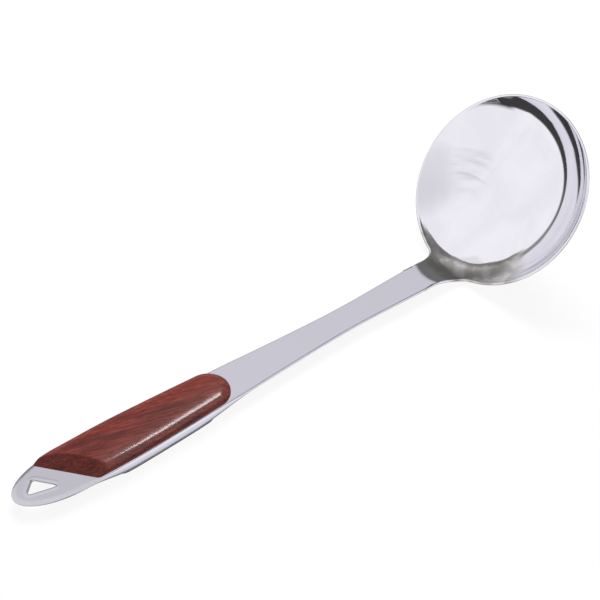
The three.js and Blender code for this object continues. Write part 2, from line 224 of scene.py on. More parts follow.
def sheet_edge(from_neck, out):
    """Distance from the rim's centre to the sheet's edge, at an angle from the neck's middle."""
    seam = seam_radius + out
    if from_neck <= math.atan(neck_half_width / seam):
        return seam / math.cos(from_neck)
    if from_neck <= side_angle:
        return neck_half_width / math.sin(from_neck)
    if from_neck >= fillet_angle:
        return RIM_RADIUS
    along = fillet_reach * math.cos(fillet_angle - from_neck)
    return along - math.sqrt(max(along ** 2 - fillet_reach ** 2 + NECK_FILLET ** 2, 0))


def sheet_point(x, y):
    """Inside point of the sheet and its normal there, both in the lying frame."""
    step = 0.01
    dx = (inside_height(x + step, y) - inside_height(x - step, y)) / (2 * step)
    dy = (inside_height(x, y + step) - inside_height(x, y - step)) / (2 * step)
    normal = Vector((-dx, -dy, 1)).normalized()
    laid_normal = Vector((normal.x * cos_tilt - normal.z * sin_tilt, normal.y,
                          normal.x * sin_tilt + normal.z * cos_tilt))
    return laid(x, y, inside_height(x, y)), laid_normal


def column_angles():
    """Angles round the rim's centre: the plain rim, a fillet and a side, the seam, and back."""
    plain, fillet, straight, across = 220, 16, 14, 24
    turn = math.pi - fillet_angle
    angles = [lerp(-turn, turn, i / plain) for i in range(plain)]
    side = [lerp(fillet_angle, side_angle, i / fillet) for i in range(fillet)]
    near = neck_half_width / math.sin(side_angle)
    far = neck_half_width / math.sin(neck_half_angle)
    side += [math.asin(neck_half_width / lerp(near, far, i / straight)) for i in range(straight)]
    angles += [math.pi - a for a in side]
    angles += [math.pi - lerp(neck_half_angle, -neck_half_angle, i / across)
               for i in range(across + 1)]
    angles += [math.pi + a for a in reversed(side[1:])]
    return angles


def bowl():
    """Columns of points from the bowl's middle to its edge, inside, outside and a round edge."""
    angles = column_angles()
    count = len(angles)
    sheet = SHEET - FACET_ROOM
    half = sheet / 2
    inner_share = 0.86
    half_rings = 34
    arc_steps = 8
    inside = []
    outside = []
    arcs = []
    rays = [Vector((math.cos(angle), math.sin(angle))) for angle in angles]
    from_necks = [abs(math.pi - abs(angle)) for angle in angles]
    outline = [ray * sheet_edge(away, SEAM_CREEP[0]) for ray, away in zip(rays, from_necks)]
    for ray, away, edge, inward in zip(rays, from_necks, outline, ring_normals(outline)):
        at_seam = away < neck_half_angle + 1e-6
        if at_seam:
            inward = Vector((1, 0))
        bead = half * (0.03 if at_seam else 1)
        last = edge + inward * bead * 0.74
        plan = [ray * (inner_share * (i + 1) / half_rings) * RIM_RADIUS for i in range(half_rings)]
        for i in range(1, half_rings + 1):
            plan.append((ray * inner_share * RIM_RADIUS).lerp(last, i / half_rings))
        column_in = []
        column_out = []
        for place in plan:
            p, n = sheet_point(*place)
            column_in.append(p)
            column_out.append(p - n * sheet)
        p, n = sheet_point(*last)
        q, _ = sheet_point(*(last + inward * 0.02))
        out = (p - q).normalized()
        middle = p - n * half
        arc = []
        for k in range(1, arc_steps):
            t = math.pi * (0.5 - k / arc_steps)
            arc.append(middle + n * (half * math.sin(t)) + out * (bead * math.cos(t)))
        inside.append(column_in)
        outside.append(column_out)
        arcs.append(arc)
    verts = []
    faces = []
    loops = []

    def add_loop(points):
        loops.append(len(verts))
        verts.extend(points)

    for k in range(len(inside[0])):
        add_loop([column[k] for column in inside])
    for k in range(arc_steps - 1):
        add_loop([column[k] for column in arcs])
    for k in reversed(range(len(outside[0]))):
        add_loop([column[k] for column in outside])
    for a, b in zip(loops, loops[1:]):
        strip(faces, a, b, count)
    p, n = sheet_point(0, 0)
    for point, loop in ((p, loops[0]), (p - n * sheet, loops[-1])):
        centre = len(verts)
        verts.append(point)
        for i in range(count):
            faces.append((centre, loop + i, loop + (i + 1) % count))
    return mesh_object("ladle_bowl", verts, faces, 50)


# ---------------------------------------------------------------- handle

def half_width(x):
    """Half width of the handle: an elliptical tab, then a curve through the outline's points."""
    tab_start = TIP_X + TAB_LENGTH
    if x <= tab_start:
        return TAB_HALF_WIDTH * math.sqrt(max(1 - ((tab_start - x) / TAB_LENGTH) ** 2, 0))
    knots = HANDLE_OUTLINE
    last = len(knots) - 1

    def slope(i):
        if i == last:
            return 0
        before = max(i - 1, 0)
        return (knots[i + 1][1] - knots[before][1]) / (knots[i + 1][0] - knots[before][0])

    i = 0
    while i < last - 1 and x < knots[i + 1][0]:
        i += 1
    span = knots[i + 1][0] - knots[i][0]
    t = (x - knots[i][0]) / span
    return ((2 * t ** 3 - 3 * t ** 2 + 1) * knots[i][1]
            + (t ** 3 - 2 * t ** 2 + t) * span * slope(i)
            + (3 * t ** 2 - 2 * t ** 3) * knots[i + 1][1]
            + (t ** 3 - t ** 2) * span * slope(i + 1))


def flange_share(x):
    """How far the sides are turned down: 0 on the shank and the tab, 1 along the grip."""
    return smooth(FLANGE_START[0], FLANGE_START[1], x) * smooth(FLANGE_END[1], FLANGE_END[0], x)


def hole_loop(steps=8):
    """Plan of the hanging hole: three straight sides and three rounded corners."""
    corners = [Vector(c) for c in HOLE_CORNERS]
    points = []
    for i, corner in enumerate(corners):
        before = (corners[(i + 2) % 3] - corner).normalized()
        after = (corners[(i + 1) % 3] - corner).normalized()
        reach = HOLE_CORNER_RADIUS / math.tan(before.angle(after) / 2)
        entry = corner + before * reach
        leave = corner + after * reach
        points += [rounded(entry, corner, leave, k / steps) for k in range(steps + 1)]
        nxt = corners[(i + 1) % 3]
        back = (corners[i] - nxt).normalized()
        ahead = (corners[(i + 2) % 3] - nxt).normalized()
        target = nxt + back * (HOLE_CORNER_RADIUS / math.tan(back.angle(ahead) / 2))
        points += [leave.lerp(target, k / 10) for k in range(1, 10)]
    return points


def ring_normals(points):
    """Unit normals of a closed line of 2D points, to the left of its direction."""
    count = len(points)
    out = []
    for i in range(count):
        d = points[(i + 1) % count] - points[i - 1]
        out.append(Vector((-d.y, d.x)).normalized())
    return out


def handle():
    """One pressing: shank, bed with turned-down sides, and tab with its hanging hole."""
    seam = SEAM_X - GAP + SEAM_CREEP[1]
    tab_start = TIP_X + TAB_LENGTH
    side = []
    steps = 230
    for i in range(steps):
        x = lerp(seam, tab_start, i / steps)
        side.append((x, half_width(x)))
    bend = 56
    for i in range(bend):
        t = math.pi / 2 * i / bend
        side.append((tab_start - TAB_LENGTH * math.sin(t), TAB_HALF_WIDTH * math.cos(t)))
    points = [Vector(p) for p in side] + [Vector((TIP_X, 0))]
    points += [Vector((x, -y)) for x, y in reversed(side)]
    normals = []
    for i in range(len(points)):
        d = points[min(i + 1, len(points) - 1)] - points[max(i - 1, 0)]
        normals.append(Vector((-d.y, d.x)).normalized())
    if (normals[0] - Vector((0, -1))).length > 1:
        normals = [-n for n in normals]
    end_steps = 12
    edge = half_width(seam) - 0.7
    for i in range(end_steps + 1):
        points.append(Vector((seam, lerp(-edge, edge, i / end_steps))))
        normals.append(Vector((-1, 0)))
    is_end = [False] * (2 * len(side) + 1) + [True] * (end_steps + 1)
    count = len(points)

    verts = []
    faces = []
    loops = []

    def add(level):
        loops.append(len(verts))
        for i in range(count):
            inset, z = level(i)
            p = points[i] + normals[i] * inset
            verts.append((p.x, p.y, z))

    def edge_shape(i):
        """Width and drop of the rounded top edge, and the side's depth, at an outline point."""
        if is_end[i]:
            return 0.03, 0.03, SHEET
        share = flange_share(points[i].x)
        tab = smooth(*TAB_EDGE_X, points[i].x)
        wide, drop = (lerp(lerp(bare, bed, share), at_tab, tab)
                      for bare, bed, at_tab in zip(BARE_EDGE, BED_EDGE, TAB_EDGE))
        return wide, drop, SHEET + (FLANGE_DEPTH - SHEET) * share

    shape = [edge_shape(i) for i in range(count)]
    arc = 9
    flat = 0.25            # a flat ring inside each rounding keeps the top face's shading flat
    add(lambda i: (shape[i][0] + (flat if not is_end[i] else 0.01), steel_top))
    for k in range(arc + 1):
        t = math.pi / 2 * k / arc
        add(lambda i: (shape[i][0] * (1 - math.sin(t)),
                       steel_top - shape[i][1] * (1 - math.cos(t))))
    lower = [0 if end else LOWER_EDGE for end in is_end]
    for k in range(5):
        t = math.pi / 2 * k / 4
        add(lambda i: (lower[i] * (1 - math.cos(t)),
                       steel_top - shape[i][2] + lower[i] * (1 - math.sin(t))))
    inner = SHEET - 0.1
    add(lambda i: (0.05 if is_end[i] else inner, steel_top - shape[i][2]))
    add(lambda i: (0.06 if is_end[i] else SHEET,
                   steel_top - min(shape[i][2] - 0.01, SHEET + 0.02)))
    add(lambda i: (0.07 if is_end[i] else SHEET + 0.2, steel_top - SHEET))
    add(lambda i: (0.08 if is_end[i] else SHEET + 0.45, steel_top - SHEET))
    for a, b in zip(loops, loops[1:]):
        strip(faces, a, b, count)

    # The hanging hole: a low raised lip, a rounded edge, a straight wall and a rounded lower edge.
    # Each pair is the distance from the hole and the height over the top face.
    hole = hole_loop()
    outward = ring_normals(hole)
    centre = sum(hole, Vector((0, 0))) / len(hole)
    if (hole[0] + outward[0] - centre).length < (hole[0] - centre).length:
        outward = [-n for n in outward]
    lip = [(2.3, 0), (2.1, 0), (1.8, 0.02), (1.4, 0.06), (1.0, 0.1), (0.7, 0.11), (0.45, 0.09),
           (0.25, 0.03), (0.1, -0.06), (0.02, -0.25), (0, -0.45), (0, -1.05), (0.06, -1.2),
           (0.25, -SHEET), (0.5, -SHEET)]
    hole_loops = []
    for away, z in lip:
        hole_loops.append(len(verts))
        for p, n in zip(hole, outward):
            q = p + n * away
            verts.append((q.x, q.y, steel_top + z))
    for a, b in zip(hole_loops, hole_loops[1:]):
        strip(faces, a, b, len(hole))

    # Holes for the screws, out of sight under the grip.
    ring = 32
    screw_loops = []
    for x in SCREW_STATIONS:
        pair = [circle(verts, x, INSERT_RADIUS + GAP, z, ring)
                for z in (steel_top, steel_top - SHEET)]
        strip(faces, pair[0], pair[1], ring)
        screw_loops.append(pair)

    top = [list(range(loops[0], loops[0] + count)),
           list(range(hole_loops[0], hole_loops[0] + len(hole)))]
    bottom = [list(range(loops[-1], loops[-1] + count)),
              list(range(hole_loops[-1], hole_loops[-1] + len(hole)))]
    for pair in screw_loops:
        top.append(list(range(pair[0], pair[0] + ring)))
        bottom.append(list(range(pair[1], pair[1] + ring)))
    fill(verts, faces, top)
    fill(verts, faces, bottom)
    return mesh_object("ladle_handle", verts, faces, 40)


# ---------------------------------------------------------------- grip scale

def scale_side(x, inset):
    """Half width of the scale at x, drawn in by `inset`, its rounded end shrinking with it."""
    side = half_width(x) - SCALE_MARGIN - inset
    at_round = half_width(SCALE_ROUND_X) - SCALE_MARGIN
    length = (SCALE_END_X - SCALE_ROUND_X) * (1 - inset / at_round)
    round_share = clamp((x - SCALE_ROUND_X) / length) if length > 0 else 1.0
    return max(side, 0) * math.sqrt(1 - round_share ** 2)


def scale_outline(inset, cut_back):
    """Plan of the scale at one level, as a closed line of 2D points starting on the cut."""
    shift = cut_back / math.sin(math.atan(-1 / CUT_SLOPE))

    def cut_start(sign):
        """Where the slanted cut meets the side, found by going back and forth between the two."""
        x = CUT_X
        for _ in range(30):
            x = CUT_X + shift + CUT_SLOPE * sign * scale_side(x, inset)
        return x

    at_round = half_width(SCALE_ROUND_X) - SCALE_MARGIN
    length = (SCALE_END_X - SCALE_ROUND_X) * (1 - inset / at_round)
    ends = {}
    for sign in (-1, 1):
        start = cut_start(sign)
        ends[sign] = Vector((start, sign * scale_side(start, inset)))
    across = ends[1] - ends[-1]
    ease = min(1.1, across.length * 0.2)
    points = []
    cut_steps = 22
    lead = ease / across.length
    for k in range(cut_steps + 1):
        points.append(ends[1].lerp(ends[-1], lerp(lead, 1 - lead, k / cut_steps)))
    for sign in (-1, 1):
        straight, bend = 70, 30
        xs = [lerp(ends[sign].x + ease, SCALE_ROUND_X, k / straight) for k in range(straight)]
        xs += [SCALE_ROUND_X + length * math.sin(math.pi / 2 * k / bend) for k in range(bend)]
        side = [Vector((x, sign * scale_side(x, inset))) for x in xs]
        corner = ends[sign]
        if sign < 0:
            entry = points[-1]
            points += [rounded(entry, corner, side[0], k / 7) for k in range(1, 7)]
            points += side + [Vector((SCALE_ROUND_X + length, 0))]
        else:
            points += list(reversed(side))
            points += [rounded(side[0], corner, points[0], k / 7) for k in range(1, 7)]
    return points


def bezier(a, b, c, d, steps):
    """Points of a cubic curve from a to d."""
    out = []
    for k in range(steps + 1):
        t = k / steps
        out.append(tuple((1 - t) ** 3 * a[i] + 3 * t * (1 - t) ** 2 * b[i]
                         + 3 * t * t * (1 - t) * c[i] + t ** 3 * d[i] for i in range(2)))
    return out


def grip_scale():
    """The wood-grain upper scale, as levels from its foot to its crowned top."""
    base = steel_top + GAP
    half_top = half_width(SCALE_ROUND_X) - SCALE_MARGIN - SCALE_BEVEL
    # Inset and height of each level: foot, upright side, shoulder, sloping side, edge, top.
    levels = [(0.3, 0.0), (0.1, 0.06), (0.0, 0.22), (0.03, 0.8)]
    levels += bezier((0.06, 1.2), (0.1, 1.75), (0.35, 1.95), (1.0, 2.25), 6)
    levels += [(1.7, 2.56), (2.4, 2.87)]
    levels += bezier((2.9, 3.08), (3.3, 3.25), (3.7, 3.33), (4.2, 3.42), 5)
    steps = 16
    for k in range(1, steps + 1):
        inward = lerp((4.2 - SCALE_BEVEL) / half_top, 0.93, k / steps)
        levels.append((SCALE_BEVEL + half_top * inward,
                       SCALE_HEIGHT + 0.06 + (SCALE_CROWN - 0.06) * (1 - (1 - inward) ** 2)))
    verts = []
    faces = []
    loops = []
    count = 0
    for inset, z in levels:
        cut_back = CUT_BEVEL * z / SCALE_HEIGHT + 0.06 * (1 - min(z, 1))
        outline = scale_outline(inset, cut_back)
        count = len(outline)
        loops.append(len(verts))
        verts.extend((p.x, p.y, base + z) for p in outline)
    for a, b in zip(loops, loops[1:]):
        strip(faces, a, b, count)
    fill(verts, faces, [list(range(loops[-1], loops[-1] + count))])
    fill(verts, faces, [list(range(loops[0], loops[0] + count))])
    return mesh_object("ladle_grip_scale", verts, faces, 60)


# ---------------------------------------------------------------- back cover and screws

def back_cover():
    """The moulded cover under the grip bed: a lip under its edge, and holes for the screws."""
    top = steel_top - SHEET - GAP
    half = []
    steps = 120
    for i in range(steps + 1):
        t = i / steps
        x = COVER_START_X - (COVER_START_X - COVER_END_X) * (1 - math.cos(math.pi * t)) / 2
        to_end = min(COVER_START_X - x, x - COVER_END_X)
        share = 1 - clamp(to_end / COVER_ROUND)
        half.append((x, (half_width(x) - GAP) * math.sqrt(max(1 - share ** 2, 0))))
    points = [Vector(p) for p in half] + [Vector((x, -y)) for x, y in reversed(half[1:-1])]
    inward = ring_normals(points)
    middle = Vector(((COVER_START_X + COVER_END_X) / 2, 0))
    if (points[0] + inward[0] - middle).length > (points[0] - middle).length:
        inward = [-n for n in inward]
    count = len(points)
    verts = []
    faces = []
    loops = []

    def lip(i):
        depth = SHEET + (FLANGE_DEPTH - SHEET) * flange_share(points[i].x)
        return min(steel_top - depth - GAP, top - 0.6)

    def add(level):
        loops.append(len(verts))
        for i in range(count):
            inset, z = level(i)
            p = points[i] + inward[i] * inset
            verts.append((p.x, p.y, z))

    add(lambda i: (1.1, 0.0))
    for k in range(1, 7):
        t = math.pi / 2 * k / 6
        add(lambda i: (0.9 * (1 - math.sin(t)), 0.7 * lip(i) * (1 - math.cos(t))))
    add(lambda i: (0.0, lip(i) - 0.05))
    add(lambda i: (0.06, lip(i)))
    add(lambda i: (SHEET + 0.1, lip(i)))
    add(lambda i: (SHEET + 0.1, top - 0.1))
    add(lambda i: (SHEET + 0.2, top))
    for a, b in zip(loops, loops[1:]):
        strip(faces, a, b, count)
    low_fill = [list(range(loops[0], loops[0] + count))]
    high_fill = [list(range(loops[-1], loops[-1] + count))]
    ring = 40
    head = SCREW_HEAD_RADIUS + GAP
    hole = SCREW_RADIUS + GAP
    profile = [(head + 0.35, 0), (head + 0.08, 0.08), (head, 0.3), (head, SCREW_RECESS),
               (hole, SCREW_RECESS + SCREW_HEAD_HEIGHT), (hole, top)]
    for x in SCREW_STATIONS:
        firsts = [circle(verts, x, radius, z, ring) for radius, z in profile]
        for a, b in zip(firsts, firsts[1:]):
            strip(faces, a, b, ring)
        low_fill.append(list(range(firsts[0], firsts[0] + ring)))
        high_fill.append(list(range(firsts[-1], firsts[-1] + ring)))
    fill(verts, faces, low_fill)
    fill(verts, faces, high_fill)
    return mesh_object("ladle_back_cover", verts, faces, 40)


def screw(name, x):
    """A countersunk screw seen from below, with a cross recess sunk into its head."""
    point = steel_top + GAP / 2 + SCREW_REACH - GAP
    ring = 144
    verts = []
    faces = []
    firsts = []

    def recess(radius, t):
        """Depth of the cross recess at a place on the head."""
        u = abs(radius * math.cos(t))
        v = abs(radius * math.sin(t))
        arm = min(u, v)
        reach = max(u, v)
        across = 1 - smooth(0.26, 0.42, arm)
        along = 1 - smooth(1.15, 1.65, reach)
        return RECESS_DEPTH * across * along

    head_rings = [0.12 * (k + 1) for k in range(23)]
    for radius in head_rings:
        firsts.append(len(verts))
        for k in range(ring):
            t = 2 * math.pi * k / ring
            z = SCREW_RECESS + 0.02 + recess(radius, t)
            verts.append((x + radius * math.cos(t), radius * math.sin(t), z))
    profile = [(2.84, SCREW_RECESS + 0.03), (SCREW_HEAD_RADIUS, SCREW_RECESS + 0.1),
               (SCREW_RADIUS, SCREW_RECESS + SCREW_HEAD_HEIGHT), (SCREW_RADIUS, point - 0.4),
               (SCREW_RADIUS - 0.4, point)]
    firsts += [circle(verts, x, radius, z, ring) for radius, z in profile]
    for a, b in zip(firsts, firsts[1:]):
        strip(faces, a, b, ring)
    for first, z in ((firsts[0], SCREW_RECESS + 0.02 + RECESS_DEPTH), (firsts[-1], point)):
        centre = len(verts)
        verts.append((x, 0, z))
        for k in range(ring):
            faces.append((centre, first + k, first + (k + 1) % ring))
    return mesh_object(name, verts, faces, 35)


# ---------------------------------------------------------------- materials

class Nodes:
    """A short way to add nodes to a material's tree and link them."""

    def __init__(self, tree):
        self.tree = tree

    def add(self, kind, **settings):
        node = self.tree.nodes.new(kind)
        inputs = settings.pop("inputs", {})
        for key, value in settings.items():
            setattr(node, key, value)
        for key, value in inputs.items():
            if isinstance(value, bpy.types.NodeSocket):
                self.tree.links.new(value, node.inputs[key])
            else:
                node.inputs[key].default_value = value
        return node

    def math(self, operation, *values):
        node = self.tree.nodes.new("ShaderNodeMath")
        node.operation = operation
        for i, value in enumerate(values):
            if isinstance(value, bpy.types.NodeSocket):
                self.tree.links.new(value, node.inputs[i])
            else:
                node.inputs[i].default_value = value
        return node.outputs[0]

    def remap(self, value, low, high, to_low=0.0, to_high=1.0):
        node = self.add("ShaderNodeMapRange", interpolation_type="SMOOTHSTEP",
                        inputs={"Value": value, "From Min": low, "From Max": high,
                                "To Min": to_low, "To Max": to_high})
        return node.outputs["Result"]

    def noise(self, vector, scale, detail=3.0, roughness=0.5, distortion=0.0):
        node = self.add("ShaderNodeTexNoise",
                        inputs={"Vector": vector, "Scale": scale, "Detail": detail,
                                "Roughness": roughness, "Distortion": distortion})
        return node.outputs["Fac"]

    def dot(self, vector, axis):
        node = self.add("ShaderNodeVectorMath", operation="DOT_PRODUCT",
                        inputs={0: vector, 1: tuple(axis)})
        return node.outputs["Value"]

    def choose(self, factor, a, b):
        """A number between a and b, where mix() gives a colour."""
        return self.add("ShaderNodeMix", inputs={0: factor, 2: a, 3: b}).outputs[0]

    def link(self, value, shader, socket):
        self.tree.links.new(value, shader.inputs[socket])

    def bump(self, height, strength, distance, shader):
        bump = self.add("ShaderNodeBump", inputs={"Strength": strength, "Distance": distance,
                                                  "Height": height})
        self.link(bump.outputs["Normal"], shader, "Normal")

    def ramp(self, value, stops):
        node = self.add("ShaderNodeValToRGB", inputs={"Fac": value})
        ramp = node.color_ramp
        while len(ramp.elements) < len(stops):
            ramp.elements.new(0.5)
        for element, (place, colour) in zip(ramp.elements, stops):
            element.position = place
            element.color = (*colour, 1)
        return node.outputs["Color"]

    def mix(self, factor, a, b):
        node = self.tree.nodes.new("ShaderNodeMix")
        node.data_type = "RGBA"
        for socket, value in ((node.inputs[0], factor), (node.inputs[6], a), (node.inputs[7], b)):
            if isinstance(value, bpy.types.NodeSocket):
                self.tree.links.new(value, socket)
            elif isinstance(value, tuple):
                socket.default_value = (*value, 1)
            else:
                socket.default_value = value
        return node.outputs[2]


def new_material(name, **principled):
    """Gives a new material, its nodes, its shader with these values, and the place to look up."""
    material = bpy.data.materials.new(name)
    material.use_nodes = True
    nodes = Nodes(material.node_tree)
    shader = material.node_tree.nodes["Principled BSDF"]
    for key, value in principled.items():
        socket = shader.inputs[key.replace("_", " ")]
        socket.default_value = value
    place = nodes.add("ShaderNodeTexCoord").outputs["Object"]
    return material, nodes, shader, place


def stretched(nodes, place, scale):
    """The place with each axis multiplied, which draws a texture out along the others."""
    mapping = nodes.add("ShaderNodeMapping", inputs={"Vector": place, "Scale": scale})
    return mapping.outputs["Vector"]


def steel_material(name):
    """Mirror polish in the bowl that passes into a fine satin along the handle."""
    material, nodes, shader, place = new_material(name, Metallic=1.0)
    xyz = nodes.add("ShaderNodeSeparateXYZ", inputs={"Vector": place})
    seam = (SEAM_X + shift_x) * MM
    satin = nodes.remap(xyz.outputs["X"], seam + 0.013, seam + 0.005)
    smears = nodes.noise(stretched(nodes, place, (30, 55, 40)), 1.0, 4, 0.55, 0.6)
    fine = nodes.noise(place, 900, 2)
    grain = nodes.noise(stretched(nodes, place, (60, 5200, 900)), 1.0, 2)
    polished = nodes.remap(smears, 0.3, 0.75, 0.022, 0.06)
    brushed = nodes.remap(grain, 0.3, 0.7, 0.15, 0.21)

    # The wall beside the neck has uneven dents. Its colour is darkened as a painted dark reflection,
    # with a darker painted line at the zone's edge: radius and direction are in the rim's plane.
    centred = nodes.add("ShaderNodeVectorMath", operation="SUBTRACT",
                        inputs={0: place, 1: (shift_x * MM, 0, rim_z * MM)}).outputs["Vector"]
    along = nodes.dot(centred, (cos_tilt, 0, sin_tilt))
    flat = nodes.add("ShaderNodeCombineXYZ",
                     inputs={"X": along, "Y": xyz.outputs["Y"]}).outputs["Vector"]
    radius = nodes.add("ShaderNodeVectorMath", operation="LENGTH",
                       inputs={0: flat}).outputs["Value"]
    towards = nodes.add("ShaderNodeVectorMath", operation="NORMALIZE",
                        inputs={0: flat}).outputs["Vector"]
    beside = nodes.dot(towards, (-0.990, -0.140, 0))
    normal = nodes.add("ShaderNodeTexCoord").outputs["Normal"]
    mouthward = nodes.dot(normal, (-sin_tilt, 0, cos_tilt))
    inside = nodes.math("GREATER_THAN", mouthward, 0.0)
    patches = nodes.noise(place, 120, 3, 0.5)
    inner = nodes.add("ShaderNodeVectorMath", operation="DISTANCE",
                      inputs={0: flat, 1: (DENTS_AND_PAINTED_REFLECTION_CENTRE[0] * MM, DENTS_AND_PAINTED_REFLECTION_CENTRE[1] * MM, 0)})
    ragged = nodes.math("ADD", inner.outputs["Value"], nodes.math("MULTIPLY", patches, 0.0022))
    begin = DENTS_AND_PAINTED_REFLECTION_RADIUS * MM
    dents_and_painted_reflection = nodes.math("MULTIPLY", nodes.remap(ragged, begin, begin + 0.0007),
                         nodes.remap(beside, 0.68, 0.84))
    dents_and_painted_reflection = nodes.math("MULTIPLY", dents_and_painted_reflection, nodes.remap(radius, 0.0500, 0.0465))
    dents_and_painted_reflection = nodes.math("MULTIPLY", dents_and_painted_reflection, inside)
    # outline: a darker line painted round the zone's edge, part of the painted reflection
    outline = nodes.math("MULTIPLY", dents_and_painted_reflection, nodes.remap(ragged, begin + 0.0034, begin + 0.0006))
    polished = nodes.choose(dents_and_painted_reflection, polished, 0.24)

    # Fine darker rings round the lower part of the wall: painted reflection bands.
    lower = nodes.dot(towards, (-0.17, -0.985, 0))
    turned = nodes.add("ShaderNodeCombineXYZ", inputs={"X": radius, "Y": lower}).outputs["Vector"]
    lines = nodes.noise(stretched(nodes, turned, (1100, 1.5, 1)), 1.0, 2, 0.5)
    lines = nodes.math("MULTIPLY", nodes.remap(lines, 0.50, 0.62),
                       nodes.remap(radius, 0.0355, 0.0385))
    lines = nodes.math("MULTIPLY", lines, nodes.remap(lower, 0.66, 0.88))

    tone = nodes.mix(nodes.remap(smears, 0.35, 0.7), (0.80, 0.795, 0.835), (0.86, 0.855, 0.885))
    # Painted dark reflection beside the neck, mottled, with its darker painted edge line.
    painted_neck_reflection = nodes.mix(nodes.remap(patches, 0.42, 0.6), (0.50, 0.485, 0.455), (0.74, 0.73, 0.70))
    painted_neck_reflection = nodes.mix(nodes.math("MULTIPLY", outline, 0.8), painted_neck_reflection, (0.17, 0.16, 0.155))
    # Painted reflection: darker rings on the lower wall.
    tone = nodes.mix(nodes.math("MULTIPLY", lines, 0.6), tone, (0.42, 0.41, 0.41))
    tone = nodes.mix(dents_and_painted_reflection, tone, painted_neck_reflection)
    soft = nodes.mix(nodes.remap(grain, 0.35, 0.65), (0.685, 0.68, 0.73), (0.71, 0.705, 0.755))
    # The satin steel's colour is darker towards the tab.
    darker_towards_tab = nodes.remap(xyz.outputs["X"], (shift_x - 215) * MM, (shift_x - 234) * MM)
    soft = nodes.mix(darker_towards_tab, soft, (0.60, 0.595, 0.63))
    nodes.link(nodes.mix(satin, tone, soft), shader, "Base Color")
    nodes.link(nodes.choose(satin, polished, brushed), shader, "Roughness")
    depth = nodes.math("MULTIPLY", nodes.math("MULTIPLY", grain, satin), 0.5)
    height = nodes.math("ADD", nodes.math("MULTIPLY", fine, 0.02), depth)
    dents = nodes.math("MULTIPLY", nodes.math("MULTIPLY", patches, dents_and_painted_reflection), 14.0)
    nodes.bump(nodes.math("ADD", height, dents), 0.06, 0.00003, shader)
    return material


def wood_material(name):
    """Red-brown wood grain that runs a little aslant, under a gloss lacquer."""
    material, nodes, shader, place = new_material(
        name, Coat_Weight=0.2, Coat_Roughness=0.10, Coat_IOR=1.5, Specular_IOR_Level=0.08)
    turned = nodes.add("ShaderNodeVectorRotate", rotation_type="Z_AXIS",
                       inputs={"Vector": place, "Angle": math.radians(17.2)}).outputs["Vector"]
    broad = nodes.noise(stretched(nodes, turned, (22, 330, 330)), 1.0, 4, 0.6, 0.5)
    streak = nodes.noise(stretched(nodes, turned, (55, 1500, 1500)), 1.0, 3, 0.6, 0.3)
    pores = nodes.noise(stretched(nodes, turned, (160, 3800, 3800)), 1.0, 2, 0.5)
    mixed = nodes.math("ADD", nodes.math("MULTIPLY", broad, 0.42),
                       nodes.math("MULTIPLY", streak, 0.58))
    colour = nodes.ramp(mixed, [(0.30, (0.060, 0.012, 0.012)), (0.43, (0.130, 0.022, 0.018)),
                                (0.53, (0.215, 0.036, 0.025)), (0.68, (0.330, 0.060, 0.036))])
    dark = nodes.remap(pores, 0.52, 0.63, 0.0, 0.85)
    colour = nodes.mix(dark, colour, (0.050, 0.012, 0.012))
    nodes.link(colour, shader, "Base Color")
    nodes.link(nodes.remap(pores, 0.3, 0.8, 0.38, 0.6), shader, "Roughness")
    nodes.bump(mixed, 0.12, 0.00002, shader)
    return material


def plastic_material(name):
    """Dark moulded plastic with a fine spark-eroded texture."""
    material, nodes, shader, place = new_material(name, IOR=1.46)
    texture = nodes.noise(place, 3500, 2)
    cloud = nodes.noise(place, 90, 3)
    nodes.link(nodes.mix(cloud, (0.020, 0.018, 0.022), (0.034, 0.031, 0.036)), shader, "Base Color")
    nodes.link(nodes.remap(cloud, 0.3, 0.7, 0.42, 0.58), shader, "Roughness")
    nodes.bump(texture, 0.4, 0.00004, shader)
    return material


def turned_metal(name, light, dark, rough):
    """Plated or turned metal with faint lathe marks and cloudy wear."""
    material, nodes, shader, place = new_material(name, Metallic=1.0)
    cloud = nodes.noise(place, 420, 4)
    marks = nodes.noise(stretched(nodes, place, (400, 400, 9000)), 1.0, 2)
    nodes.link(nodes.mix(cloud, dark, light), shader, "Base Color")
    nodes.link(nodes.remap(cloud, 0.3, 0.7, rough, rough + 0.2), shader, "Roughness")
    nodes.bump(marks, 0.3, 0.00003, shader)
    return material


steel = steel_material("polished_and_satin_steel")
wood = wood_material("lacquered_wood_grain")
plastic = plastic_material("dark_moulded_plastic")
zinc = turned_metal("zinc_plated_steel", (0.66, 0.66, 0.64), (0.5, 0.5, 0.49), 0.28)
brass = turned_metal("turned_brass", (0.80, 0.62, 0.28), (0.62, 0.46, 0.18), 0.25)

# ---------------------------------------------------------------- pieces

pieces = [
    (bowl(), "bowl", "polished_steel", steel),
    (handle(), "handle", "satin_steel", steel),
    (grip_scale(), "grip_scale", "wood_grain", wood),
    (back_cover(), "back_cover", "dark_plastic", plastic),
]
for number, station in enumerate(SCREW_STATIONS, 1):
    pieces.append((screw(f"ladle_screw_{number}", station), f"screw_{number}", "zinc_steel", zinc))
for piece, node, slot, material in pieces:
    piece.data.materials.append(material)
    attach(piece, "root")
    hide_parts(node)
for number in (1, 2):
    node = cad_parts[f"threaded_insert_{number}"]
    node.data.materials.clear()
    node.data.materials.append(brass)

# ---------------------------------------------------------------- floor, light and camera

FLOOR_HALF = 4.0
LAMP_DISTANCE = 1.5
BACKDROP = (0.97, 0.97, 0.975)     # what the camera sees past the floor
AMBIENT = (0.30, 0.30, 0.31)       # what lights the matt pieces from all around
FLAG_DEPTH = 2.5                   # rays past this depth have met the steel twice


